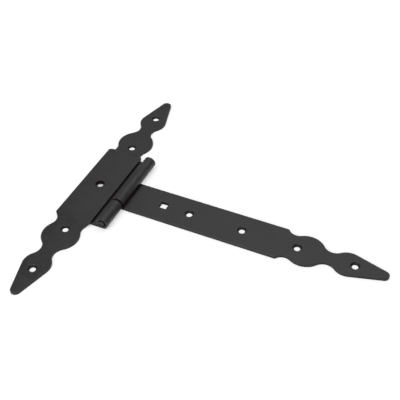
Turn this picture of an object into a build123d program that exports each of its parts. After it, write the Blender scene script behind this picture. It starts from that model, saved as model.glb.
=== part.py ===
"""Tee hinge: an ornamental frame plate over a rolled leaf, and a long strap that swings on a steel pin.

The origin is under the middle screw hole of the frame plate, at the back face of the hinge. +X runs
along the strap to its tip, +Y along the pin, and +Z out of the front. The hinge is modelled opened flat.
"""
from build123d import *
from math import acos, asin, degrees, sqrt
import os

# Sheet, the same gauge for all three leaves, and how its front edges and its shoulders are broken
sheet = 2.5
edge_break = 0.35
corner_round = 0.8

# Pin, and the knuckles rolled round it, with the strap slid along to the far end of its play
pin_diameter = 6.0
pin_clearance = 0.08
pin_end_round = 1.0
barrel_length = 89.6
near_gap = 0.9
far_gap = 0.25
roll_gap = 0.15

# Ornamental frame plate, raised in the middle to lie over the rolled leaf
plate_width = 35.0
plate_overlap = 2.0
joggle_setback = 0.7
joggle_run = 3.0
joggle_bend = 2.0

# Rolled leaf under the plate
leaf_inset = 2.0
leaf_strip = 4.9
notch_clearance = 0.8

# Strap, measured from the pin
strap_width = 35.0
strap_reach = 148.8
first_hole_reach = 62.0
square_hole_setback = 25.0

# Finial at both ends of the plate and at the tip of the strap, measured from its shoulder
lobe_reach = 20.6
lobe_radius = 16.8
bite_radius = 8.7
neck_radius = 9.9
spear_from_lobe = 36.6
spear_radius = 13.7
spear_drop = 1.2
tip_from_spear = 29.9
tip_radius = 4.5
lobe_hole_reach = 13.2
finial_hole_pitch = 50.0

# Countersunk screw holes, and a square hole for the neck of a coach bolt
screw_hole = 5.5
screw_head = 8.5
countersink_angle = 90
leaf_hole_clearance = 4.0
square_hole = 7.0
square_corner = 0.5

# Worked out from the sizes above
barrel_radius = pin_diameter / 2 + pin_clearance + sheet
pin_x = plate_width / 2 + leaf_strip + barrel_radius
across_pin = Plane(origin=(pin_x, 0, barrel_radius), x_dir=(1, 0, 0), z_dir=(0, -1, 0))
leaf_half = barrel_length / 2
plate_half = leaf_half + plate_overlap
joggle_top = plate_half + joggle_setback
joggle_foot = joggle_top + joggle_run
spear_reach = lobe_reach + spear_from_lobe
tip_reach = spear_reach + tip_from_spear
finial_length = tip_reach + tip_radius
plate_end = plate_half + finial_length
spear_hole_reach = lobe_hole_reach + finial_hole_pitch
shoulder_x = pin_x + strap_reach


def meeting_point(first, first_distance, second, second_distance):
    """The point at these distances from two others, left of the way from the first to the second."""
    way = second - first
    along = (first_distance**2 - second_distance**2 + way.length**2) / (2 * way.length)
    aside = sqrt(first_distance**2 - along**2)
    step = way.normalized()
    return first + step * along + step.rotate(Axis.Z, 90) * aside


def towards(centre, target, distance):
    """The point at this distance from the centre on the way to the target."""
    return centre + (target - centre).normalized() * distance


def finial(width):
    """A lobe, a neck and a spear point, from the shoulder at X = 0 along +X."""
    shoulder = Vector(0, width / 2)
    lobe = Vector(lobe_reach, 0)
    spear = Vector(spear_reach, -spear_drop)
    tip = Vector(tip_reach, 0)

    # The bite touches the lobe from outside, and the neck's round touches the lobe and the spear
    bite = meeting_point(shoulder, bite_radius, lobe, bite_radius + lobe_radius)
    neck = meeting_point(lobe, lobe_radius + neck_radius, spear, spear_radius + neck_radius)
    lobe_start = towards(lobe, bite, lobe_radius)
    lobe_end = towards(lobe, neck, lobe_radius)
    spear_start = towards(spear, neck, spear_radius)

    # The straight side touches the rounds of the spear and of the tip
    way = tip - spear
    outward = way.normalized().rotate(Axis.Z, degrees(acos((spear_radius - tip_radius) / way.length)))
    side_start = spear + outward * spear_radius
    side_end = tip + outward * tip_radius

    with BuildSketch(mode=Mode.PRIVATE) as shape:
        with BuildLine():
            RadiusArc(shoulder, lobe_start, -bite_radius)
            RadiusArc(lobe_start, lobe_end, lobe_radius)
            RadiusArc(lobe_end, spear_start, -neck_radius)
            RadiusArc(spear_start, side_start, spear_radius)
            Line(side_start, side_end)
            RadiusArc(side_end, (finial_length, 0), tip_radius)
            mirror(about=Plane.XZ)
            Line(shoulder, (0, -width / 2))
        make_face()
    return shape.sketch


def rolled_end():
    """Section of the sheet rolled round the pin, from under it over the top and back to its own leaf."""
    end_drop = degrees(asin((barrel_radius - sheet - roll_gap) / barrel_radius))
    with BuildSketch(mode=Mode.PRIVATE) as section:
        with BuildLine():
            CenterArc((0, 0), barrel_radius - sheet / 2, -90, 270 + end_drop)
        trace(line_width=sheet)
    return section.sketch


def front_rim(part):
    """The edges between the front of a leaf and its upright cut sides."""
    front = part.faces().filter_by(lambda face: face.normal_at().Z > 0.5)
    sides = part.faces().filter_by(lambda face: abs(face.normal_at().Z) < 0.01)
    return front.edges() & sides.edges()


def screw_holes(places):
    """Screw holes right through, countersunk from these places on the front."""
    with Locations(*places):
        CounterSinkHole(screw_hole / 2, screw_head / 2, counter_sink_angle=countersink_angle)


with BuildPart() as cover_plate:
    # Seen from the side, the finials lie on the back plane and the middle is raised by the leaf's gauge
    with BuildSketch(Plane.YZ):
        with BuildLine():
            FilletPolyline(
                (-plate_end, sheet / 2),
                (-joggle_foot, sheet / 2),
                (-joggle_top, sheet * 1.5),
                (joggle_top, sheet * 1.5),
                (joggle_foot, sheet / 2),
                (plate_end, sheet / 2),
                radius=joggle_bend,
            )
        trace(line_width=sheet)
    extrude(amount=plate_width, both=True)
    with BuildSketch() as plate_outline:
        Rectangle(plate_width, 2 * plate_half)
        for end in (1, -1):
            with Locations(Location((0, end * plate_half, 0), (0, 0, end * 90))):
                add(finial(plate_width))
        shoulders = plate_outline.vertices().filter_by(lambda v: abs(v.X) > plate_width / 2 - edge_break)
        fillet(shoulders, corner_round)
    extrude(amount=2 * sheet, mode=Mode.INTERSECT)
    chamfer(front_rim(cover_plate), edge_break)
    screw_holes([(0, 0, 2 * sheet)])
    for reach in (lobe_hole_reach, spear_hole_reach):
        screw_holes([(0, end * (plate_half + reach), sheet) for end in (1, -1)])

with BuildPart() as knuckle_leaf:
    leaf_back = leaf_inset - plate_width / 2
    with BuildSketch():
        with Locations((leaf_back, 0)):
            Rectangle(pin_x - leaf_back, barrel_length, align=(Align.MIN, Align.CENTER))
        # Clear of the screw, which only the plate on top holds
        Circle((screw_hole + leaf_hole_clearance) / 2, mode=Mode.SUBTRACT)
    extrude(amount=sheet)
    with BuildSketch(across_pin):
        add(rolled_end())
    extrude(amount=leaf_half, both=True)
    # The notch that the strap's knuckle turns in
    with BuildSketch():
        with Locations((pin_x - barrel_radius - notch_clearance, -strap_width / 2 - near_gap)):
            Rectangle(3 * barrel_radius, strap_width + near_gap + far_gap, align=Align.MIN)
    extrude(amount=2 * barrel_radius, mode=Mode.SUBTRACT)

with BuildPart() as strap_leaf:
    with BuildSketch() as strap_outline:
        with Locations((pin_x, 0)):
            Rectangle(strap_reach, strap_width, align=(Align.MIN, Align.CENTER))
        with Locations((shoulder_x, 0)):
            add(finial(strap_width))
        shoulders = strap_outline.vertices().filter_by(lambda v: abs(v.X - shoulder_x) < edge_break)
        fillet(shoulders, corner_round)
    extrude(amount=sheet)
    chamfer(front_rim(strap_leaf).sort_by(Axis.X)[1:], edge_break)
    with BuildSketch(across_pin):
        mirror(rolled_end(), about=Plane.YZ)
    extrude(amount=strap_width / 2, both=True)
    # The square hole is nearest the pin, and the screw holes are evenly spaced as far as the lobe
    first_hole_x = pin_x + first_hole_reach
    lobe_hole_x = shoulder_x + lobe_hole_reach
    with BuildSketch():
        with Locations((first_hole_x - square_hole_setback, 0)):
            RectangleRounded(square_hole, square_hole, square_corner)
    extrude(amount=sheet, mode=Mode.SUBTRACT)
    screw_holes([(first_hole_x, 0, sheet), ((first_hole_x + lobe_hole_x) / 2, 0, sheet)])
    screw_holes([(lobe_hole_x, 0, sheet), (shoulder_x + spear_hole_reach, 0, sheet)])

with BuildPart() as hinge_pin:
    with BuildSketch(across_pin):
        Circle(pin_diameter / 2)
    extrude(amount=leaf_half, both=True)
    fillet(hinge_pin.edges().filter_by(GeomType.CIRCLE), pin_end_round)

os.makedirs("parts", exist_ok=True)
pieces = {
    "cover_plate": cover_plate,
    "knuckle_leaf": knuckle_leaf,
    "strap_leaf": strap_leaf,
    "hinge_pin": hinge_pin,
}
for name, piece in pieces.items():
    piece.part.label = name
    export_step(piece.part, f"parts/{name}.step")
    size = piece.part.bounding_box().size
    print(f"{name}: {piece.part.volume:.0f} mm3, {size.X:.1f} x {size.Y:.1f} x {size.Z:.1f} mm")
print(f"pin axis at X {pin_x:.2f}, Z {barrel_radius:.2f}")
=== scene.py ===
import math

import bpy
import numpy as np
from mathutils import Matrix, Vector


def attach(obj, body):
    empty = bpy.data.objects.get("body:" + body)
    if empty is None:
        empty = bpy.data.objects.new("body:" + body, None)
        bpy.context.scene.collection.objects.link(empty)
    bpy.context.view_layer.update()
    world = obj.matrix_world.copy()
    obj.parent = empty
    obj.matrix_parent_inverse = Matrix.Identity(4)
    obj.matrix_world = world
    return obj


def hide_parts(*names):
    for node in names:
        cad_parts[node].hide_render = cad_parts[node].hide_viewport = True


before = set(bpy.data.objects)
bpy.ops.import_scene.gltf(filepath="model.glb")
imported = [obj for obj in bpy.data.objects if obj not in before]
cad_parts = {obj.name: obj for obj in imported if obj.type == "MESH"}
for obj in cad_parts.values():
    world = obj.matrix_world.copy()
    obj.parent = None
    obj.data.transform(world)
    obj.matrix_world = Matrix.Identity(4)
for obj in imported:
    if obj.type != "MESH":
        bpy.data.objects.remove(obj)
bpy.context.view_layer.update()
scene = bpy.context.scene
scene.view_settings.view_transform = "Standard"
print("frame: the packed hinge is in")


def linear(hexColour):
    # an sRGB hex colour as linear light, with the straight toe below 0.04045
    values = [int(hexColour[i:i + 2], 16) / 255 for i in (1, 3, 5)]
    return [v / 12.92 if v <= 0.04045 else ((v + 0.055) / 1.055) ** 2.4 for v in values] + [1.0]


def metres(millimetres):
    return millimetres / 1000


def perMetre(millimetres):
    # a texture's scale on Object coordinates, for a feature of this real size
    return 1000 / millimetres


def addNode(tree, kind, sockets=None, **settings):
    # one node with its settings; each of its inputs, by name or number, takes a link or a plain value
    node = tree.nodes.new("ShaderNode" + kind)
    for name, value in settings.items():
        setattr(node, name, value)
    for name, value in (sockets or {}).items():
        if isinstance(value, bpy.types.NodeSocket):
            tree.links.new(value, node.inputs[name])
        else:
            node.inputs[name].default_value = value
    return node


def newMaterial(name):
    material = bpy.data.materials.new(name)
    material.use_nodes = True
    material.node_tree.nodes.clear()
    return material, material.node_tree


def addObject(name, data):
    thing = bpy.data.objects.new(name, data)
    scene.collection.objects.link(thing)
    return thing


# The hinge pin, a length of 6 mm rod cropped by a shear. The blade rolls the rod over where it comes in,
# so the end face is smaller than the rod and off its centre, and a gap shows above it in the knuckle.
pin = {
    "axisX": 27.98,  # mm, as are all the lengths here
    "axisZ": 5.58,
    "radius": 3.0,
    "halfLength": 44.8,
    "endRadius": 2.45,
    "endShift": (-0.41, -0.36),  # of the end face, along X and Z
    "rollOver": 2.6,  # from the end back to the full rod
    "edgeRound": 0.35,
    "endInset": 0.15,  # of the end face's rim, behind the knuckle's end
    "dome": 0.12,  # of the end face over its rim
    "sides": 72,
    "steps": 10,  # rings in each part of an end
}


def pinRings(settings):
    # depth behind the knuckle's end, radius and share of the shift, ring by ring: a smooth step from the
    # rod to the end face's size, a quarter circle over its edge, and a parabola for the domed face up to
    # its pole
    t = np.linspace(0, 1, settings["steps"])
    edge, inset, end = settings["edgeRound"], settings["endInset"], settings["endRadius"]
    rollDepth = settings["rollOver"] + (inset + edge - settings["rollOver"]) * t
    rollShare = t * t * (3 - 2 * t)
    rollRadius = settings["radius"] + (end - settings["radius"]) * rollShare
    turn = t[1:] * math.pi / 2
    edgeDepth = inset + edge * (1 - np.sin(turn))
    edgeRadius = end - edge * (1 - np.cos(turn))
    faceRadius = (end - edge) * (1 - t[1:-1])
    faceDepth = inset - settings["dome"] * (1 - (faceRadius / (end - edge)) ** 2)
    depth = np.concatenate([rollDepth, edgeDepth, faceDepth])
    radius = np.concatenate([rollRadius, edgeRadius, faceRadius])
    share = np.concatenate([rollShare, np.ones(len(depth) - len(rollShare))])
    return depth, radius, share


def buildPin(settings):
    # rings of points round the axis, x = radius * sin(a) and z = radius * cos(a), from the near end's pole
    # to the far end's; each ring moves aside by its share of the end's shift
    depth, radius, share = pinRings(settings)
    y = np.concatenate([(depth - settings["halfLength"])[::-1], settings["halfLength"] - depth])
    radius = np.concatenate([radius[::-1], radius])
    share = np.concatenate([share[::-1], share])
    shiftX, shiftZ = settings["endShift"]
    angle = np.arange(settings["sides"]) * 2 * math.pi / settings["sides"]
    x = settings["axisX"] + share[:, None] * shiftX + radius[:, None] * np.sin(angle)
    z = settings["axisZ"] + share[:, None] * shiftZ + radius[:, None] * np.cos(angle)
    rings = np.stack([x, np.broadcast_to(y[:, None], x.shape), z], axis=-1).reshape(-1, 3)
    poleX, poleZ = settings["axisX"] + shiftX, settings["axisZ"] + shiftZ
    poleY = settings["halfLength"] - settings["endInset"] + settings["dome"]
    points = metres(np.concatenate([rings, [(poleX, -poleY, poleZ), (poleX, poleY, poleZ)]]))

    # four-sided faces between the rings, and a fan of triangles to each pole
    sides, count = settings["sides"], len(radius)
    ring, side = np.meshgrid(np.arange(count - 1), np.arange(sides), indexing="ij")
    here, beside = ring * sides + side, ring * sides + (side + 1) % sides
    quads = np.stack([here, beside, beside + sides, here + sides], axis=-1).reshape(-1, 4)
    first, last = np.arange(sides), (count - 1) * sides + np.arange(sides)
    nextFirst, nextLast = np.roll(first, -1), np.roll(last, -1)
    nearCap = np.stack([nextFirst, first, np.full(sides, count * sides)], axis=-1)
    farCap = np.stack([last, nextLast, np.full(sides, count * sides + 1)], axis=-1)
    mesh = bpy.data.meshes.new("hingePin")
    mesh.from_pydata(points.tolist(), [], quads.tolist() + nearCap.tolist() + farCap.tolist())
    mesh.polygons.foreach_set("use_smooth", [True] * len(mesh.polygons))
    mesh.update()
    rod = addObject("hingePin", mesh)
    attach(rod, "frame")
    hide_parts("hinge_pin")
    return rod


hingePin = buildPin(pin)
print("pin: cropped at both ends")

# Satin black powder coat: an epoxy-polyester film, sprayed on as powder and baked on the assembled hinge
# of sheet steel. It flows out into a faint orange peel, and a fine dry grain breaks its shine into a soft
# satin. Handling leaves it a little uneven. Over the cut edges it draws thin and smooth, and a paler colour
# there is partly the thin film and partly a painted highlight. In the joints and the holes the film is
# rougher, and painted shade makes it darker and less glossy there.
coat = {
    "colour": "#0d080b",  # black with a trace of purple
    "paleColour": "#1b1719",  # where it is dry
    # the paler edge colour is partly the thin film and partly a painted highlight along the edges
    "edgeHighlightColour": "#343332",
    "ior": 1.50,
    "roughness": (0.34, 0.49),  # where it has flowed out well, and where it is dry
    "edgeRoughness": 0.20,
    "recessRoughness": 0.80,
    "gloss": (0.5, 0.12),  # specular level, in the open and where shade is painted in a recess
    # noises: size in mm, detail, roughness of the detail, distortion
    "cloud": (38.0, 2.0, 0.5, 0.0),  # slow change of the film's thickness
    "smudge": (9.0, 3.0, 0.55, 0.6),  # handling marks
    "mottle": (2.6, 2.0, 0.6, 0.0),  # patches of drier and wetter grain
    "peel": (1.8, 1.0, 0.4, 0.0),  # the crests of the orange peel
    "grain": (0.5, 2.0, 0.6, 0.0),  # coarser than the real 0.05 mm so that it shows
    "drySpan": (1.3, 1.7),  # the sum of the first three noises where the film is wettest, and driest
    "peelHeight": 0.045,  # mm
    "grainHeight": 0.035,  # mm
    "edgeRound": 0.40,  # mm, the film's round over a cut edge
    "edgeTurn": (0.995, 0.92),  # cosine of the round's turn, where the edge begins, and where it is full
    "edgeSamples": 6,
    "recessReach": 2.4,  # mm, how near another surface the painted shade begins
    "recessView": (0.92, 0.42),  # open share of the view where a recess begins, and where it is full
    "recessSamples": 8,
}

# Places of painted shade, rougher, darker and less glossy, that the recess's reach misses: the countersinks
# and holes, the open seam between the near knuckle and the strap's, and the gap round the pin's ends.
# All in mm. A pair gives where a place begins, and where it is full.
shadeSpots = {
    "seamY": -17.95,  # the middle of the open seam
    "seamBand": (1.45, 0.95),
    "barrelReach": (6.0, 5.6),  # along X from the pin's axis
    "gapShift": (0.5, 0.5),  # the middle of the gap round the pin, from the axis along X and Z
    "gapRadius": (3.9, 3.4),
    "gapDepth": (0.5, 0.1),  # from the knuckle's end
    "holePitch": 50.0,
    "strapHoles": 164.98,  # along X, the middle of the strap's four screw holes
    "plateHoles": 85.0,  # along Y to both sides, the middle of a finial's two
    "sinkRadius": (4.10, 3.50),
    "sinkShade": 0.5,  # the countersinks get the painted shade at half strength
    "middleRadius": (4.40, 4.15),  # the plate's middle hole, which the leaf under it shuts in
    "squareHole": 64.98,  # along X
    "squareHalf": (3.75, 3.55),
    "holeFoot": (0.1, 0.3),  # over the back, which is left as it is
}

# The same coat on the rod: drawn steel is smoother than sheet. The painted shade of the gap round the pin's
# ends stays on the knuckles, off the rod.
pinFinish = dict(coat, roughness=(0.30, 0.40), peel=(1.2, 1.0, 0.4, 0.0), peelHeight=0.008)
pinShadeSpots = dict(shadeSpots, gapRadius=(0.0, -1.0))  # nowhere


def paintedShadeMask(tree, place, spots):
    # 1 at the places of painted shade and 0 elsewhere
    def apart(value, middle):
        # how far a value lies from this middle, to either side
        less = addNode(tree, "Math", {0: value, 1: metres(middle)}, operation="SUBTRACT")
        return addNode(tree, "Math", {0: less.outputs[0]}, operation="ABSOLUTE").outputs[0]

    def near(first, second, limits):
        # 1 round where both values are 0, fading out between the limits; with the second at 0, a band
        pair = addNode(tree, "CombineXYZ", {"X": first, "Y": second})
        reach = addNode(tree, "VectorMath", {0: pair.outputs[0]}, operation="LENGTH")
        return addNode(tree, "MapRange", {
            "Value": reach.outputs["Value"], "From Min": metres(limits[0]), "From Max": metres(limits[1]),
        }).outputs[0]

    x, y, z = addNode(tree, "SeparateXYZ", {"Vector": place}).outputs
    aside = apart(y, 0.0)
    above = addNode(tree, "MapRange", {
        "Value": z, "From Min": metres(spots["holeFoot"][0]), "From Max": metres(spots["holeFoot"][1]),
    }).outputs[0]
    halfShade = addNode(tree, "Math", {0: above, 1: spots["sinkShade"]}, operation="MULTIPLY").outputs[0]
    gapX = apart(x, pin["axisX"] + spots["gapShift"][0])
    gapZ = apart(z, pin["axisZ"] + spots["gapShift"][1])
    # the screw holes lie half a pitch to both sides of a middle, and the strap's two middles a pitch to
    # both sides of theirs
    pitch = spots["holePitch"]
    alongStrap = apart(apart(apart(x, spots["strapHoles"]), pitch), pitch / 2)
    alongPlate = apart(apart(aside, spots["plateHoles"]), pitch / 2)
    fromSquare = apart(x, spots["squareHole"])
    square = addNode(tree, "Math", {0: fromSquare, 1: aside}, operation="MAXIMUM").outputs[0]
    # each place is where two masks overlap, and the whole is the strongest of them
    overlaps = [
        (near(apart(y, spots["seamY"]), 0.0, spots["seamBand"]),
         near(apart(x, pin["axisX"]), 0.0, spots["barrelReach"])),
        (near(gapX, gapZ, spots["gapRadius"]),
         near(apart(aside, pin["halfLength"]), 0.0, spots["gapDepth"])),
        (near(alongStrap, y, spots["sinkRadius"]), halfShade),
        (near(alongPlate, x, spots["sinkRadius"]), halfShade),
        (near(square, 0.0, spots["squareHalf"]), above),
        (near(x, y, spots["middleRadius"]), above),
    ]
    mask = 0.0
    for first, second in overlaps:
        overlap = addNode(tree, "Math", {0: first, 1: second}, operation="MULTIPLY").outputs[0]
        mask = addNode(tree, "Math", {0: overlap, 1: mask}, operation="MAXIMUM").outputs[0]
    return mask


def powderCoat(name, settings, spots):
    material, tree = newMaterial(name)
    place = addNode(tree, "TexCoord").outputs["Object"]
    noises = {}
    for noise in ("cloud", "smudge", "mottle", "peel", "grain"):
        size, detail, roughness, distortion = settings[noise]
        noises[noise] = addNode(tree, "TexNoise", {
            "Vector": place, "Scale": perMetre(size), "Detail": detail, "Roughness": roughness,
            "Distortion": distortion,
        }).outputs["Fac"]
    # how dry the film is: the clouds, the smudges and the mottle together, each about 0.5 on average
    dryness = addNode(tree, "Math", {0: noises["cloud"], 1: noises["smudge"]}, operation="ADD").outputs[0]
    dryness = addNode(tree, "Math", {0: dryness, 1: noises["mottle"]}, operation="ADD").outputs[0]
    dry = addNode(tree, "MapRange", {
        "Value": dryness, "From Min": settings["drySpan"][0], "From Max": settings["drySpan"][1],
    }).outputs[0]

    # the round over the edges, and how far it turns the surface away: 0 on the flat, 1 on an edge
    rounded = addNode(tree, "Bevel", {"Radius": metres(settings["edgeRound"])},
                      samples=settings["edgeSamples"]).outputs[0]
    facing = addNode(tree, "NewGeometry").outputs["Normal"]
    turned = addNode(tree, "VectorMath", {0: rounded, 1: facing}, operation="DOT_PRODUCT")
    edge = addNode(tree, "MapRange", {
        "Value": turned.outputs["Value"], "From Min": settings["edgeTurn"][0],
        "From Max": settings["edgeTurn"][1],
    }).outputs[0]
    # painted shade, from how shut in a place is: 0 in the open, 1 in a narrow joint or at a listed place;
    # there the film is rougher, and painted darker and less glossy
    openness = addNode(tree, "AmbientOcclusion", {"Distance": metres(settings["recessReach"])},
                       samples=settings["recessSamples"])
    shut = addNode(tree, "MapRange", {
        "Value": openness.outputs["AO"], "From Min": settings["recessView"][0],
        "From Max": settings["recessView"][1],
    }).outputs[0]
    recessShade = addNode(tree, "Math", {0: shut, 1: paintedShadeMask(tree, place, spots)},
                     operation="MAXIMUM").outputs[0]

    # a Mix node takes colours on 6 and 7 and numbers on 2 and 3, and gives a colour on 2, a number on 0
    film = addNode(tree, "Mix", {
        "Factor": dry, 6: linear(settings["colour"]), 7: linear(settings["paleColour"]),
    }, data_type="RGBA").outputs[2]
    # the paler edge colour, partly a painted highlight, shows on the edges except where shade is painted
    paleEdge = addNode(tree, "Math", {0: edge, 1: recessShade}, operation="SUBTRACT").outputs[0]
    colour = addNode(tree, "Mix", {"Factor": paleEdge, 6: film, 7: linear(settings["edgeHighlightColour"])},
                     data_type="RGBA").outputs[2]
    satin = addNode(tree, "MapRange", {
        "Value": dry, "To Min": settings["roughness"][0], "To Max": settings["roughness"][1],
    }).outputs[0]
    smooth = addNode(tree, "Mix", {"Factor": edge, 2: satin, 3: settings["edgeRoughness"]},
                     data_type="FLOAT").outputs[0]
    rough = addNode(tree, "Mix", {"Factor": recessShade, 2: smooth, 3: settings["recessRoughness"]},
                    data_type="FLOAT").outputs[0]
    # painted shade: the specular level falls where shade is painted, which darkens those places
    gloss = addNode(tree, "MapRange", {
        "Value": recessShade, "To Min": settings["gloss"][0], "To Max": settings["gloss"][1],
    }).outputs[0]
    low = addNode(tree, "Bump", {
        "Height": noises["peel"], "Normal": rounded, "Strength": 1.0,
        "Distance": metres(settings["peelHeight"]),
    }).outputs[0]
    fine = addNode(tree, "Bump", {
        "Height": noises["grain"], "Normal": low, "Strength": 1.0,
        "Distance": metres(settings["grainHeight"]),
    }).outputs[0]
    shader = addNode(tree, "BsdfPrincipled", {
        "Base Color": colour, "Roughness": rough, "Specular IOR Level": gloss, "Normal": fine,
        "IOR": settings["ior"],
    }).outputs[0]
    addNode(tree, "OutputMaterial", {"Surface": shader})
    return material


leafCoat = powderCoat("satinPowderCoat", coat, shadeSpots)
pinCoat = powderCoat("pinPowderCoat", pinFinish, pinShadeSpots)
for name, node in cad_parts.items():
    for slot in node.material_slots:
        slot.material = pinCoat if name == "hinge_pin" else leafCoat
hingePin.data.materials.append(pinCoat)
print("materials: the powder coat is on the leaves and the pin")

# The studio: a matt opal sheet for a floor, which lets nearly half of the light through, over a white
# ground, so that the strap shows under it where it swings down. Above are an even sky, a wide softbox high
# behind the hinge, a fill panel over it and a low strip light in front, for the near edges.
studio = {
    "floorSize": 80.0,  # m
    "floorColour": "#c8c8c8",
    "floorClear": "#b6b6b6",  # what goes straight through
    "groundDepth": 0.32,  # m under the floor
    "groundSize": 100.0,  # m
    "skyColour": "#ffffff",
    "skyStrength": 0.42,
    "lamps": {
        # place and aim in m, size in m, power in W
        "keySoftbox": {"place": (0.13, 0.66, 1.07), "aim": (0.11, 0, 0), "size": (1.38, 0.68), "power": 3.4},
        "fillPanel": {"place": (0.05, -0.20, 1.30), "aim": (0.05, 0, 0), "size": (1.0, 1.0), "power": 6.6},
        "frontStrip": {"place": (-0.12, -0.92, 0.50), "aim": (0.05, 0, 0), "size": (0.8, 0.12), "power": 3.3},
    },
}


def seenRays(tree):
    # 1 for what the camera sees, straight, in a gloss or through a glass, and 0 for light on the object
    path = addNode(tree, "LightPath").outputs
    seen = 0.0
    for ray in ("Is Camera Ray", "Is Glossy Ray", "Is Transmission Ray"):
        seen = addNode(tree, "Math", {0: path[ray], 1: seen}, operation="MAXIMUM").outputs[0]
    return seen


def flatSquare(name, size, height, material):
    half = size / 2
    corners = [(-half, -half, height), (half, -half, height), (half, half, height), (-half, half, height)]
    mesh = bpy.data.meshes.new(name)
    mesh.from_pydata(corners, [], [(0, 1, 2, 3)])
    mesh.materials.append(material)
    square = addObject(name, mesh)


def buildFloor():
    opal, tree = newMaterial("opalSheet")
    matt = addNode(tree, "BsdfDiffuse", {"Color": linear(studio["floorColour"])}).outputs[0]
    clear = addNode(tree, "BsdfTransparent", {"Color": linear(studio["floorClear"])}).outputs[0]
    sheet = addNode(tree, "AddShader", {0: matt, 1: clear}).outputs[0]
    addNode(tree, "OutputMaterial", {"Surface": sheet})
    flatSquare("floor", studio["floorSize"], 0.0, opal)
    white, tree = newMaterial("whiteGround")
    light = addNode(tree, "Emission", {"Strength": seenRays(tree)}).outputs[0]
    addNode(tree, "OutputMaterial", {"Surface": light})
    flatSquare("ground", studio["groundSize"], -studio["groundDepth"], white)


def buildLight():
    world = bpy.data.worlds.new("sky")
    scene.world = world
    world.use_nodes = True
    world.node_tree.nodes.clear()
    sky = addNode(world.node_tree, "Background", {
        "Color": linear(studio["skyColour"]), "Strength": studio["skyStrength"],
    }).outputs[0]
    addNode(world.node_tree, "OutputWorld", {"Surface": sky})
    for name, lamp in studio["lamps"].items():
        data = bpy.data.lights.new(name, "AREA")
        data.shape = "RECTANGLE"
        data.size, data.size_y = lamp["size"]
        data.energy = lamp["power"]
        box = addObject(name, data)
        box.location = lamp["place"]
        way = Vector(lamp["aim"]) - box.location
        box.rotation_euler = way.to_track_quat("-Z", "Y").to_euler()


buildFloor()
buildLight()
print("studio: floor, sky and lamps")

# The camera of the photograph: above the front right, a little rolled
view = {
    "aim": (0.09018, 0.02184, 0.0),  # m, the point in the middle of the picture
    "distance": 0.69228,  # m
    "turn": 26.086,  # degrees round from looking along +Y
    "height": 43.254,  # degrees above the floor
    "roll": -1.532,  # degrees
    "lens": 69.503,  # mm
    "sensor": 36.0,  # mm wide
}


def buildCamera():
    data = bpy.data.cameras.new("camera")
    data.sensor_width = view["sensor"]
    data.lens = view["lens"]
    camera = addObject("camera", data)
    turned = Matrix.Rotation(math.radians(view["turn"]), 4, "Z")
    raised = Matrix.Rotation(math.radians(90 - view["height"]), 4, "X")
    rolled = Matrix.Rotation(math.radians(view["roll"]), 4, "Z")
    away = Matrix.Translation((0, 0, view["distance"]))
    camera.matrix_world = Matrix.Translation(view["aim"]) @ turned @ raised @ away @ rolled
    scene.camera = camera


buildCamera()
print("camera: at the photograph's angle")
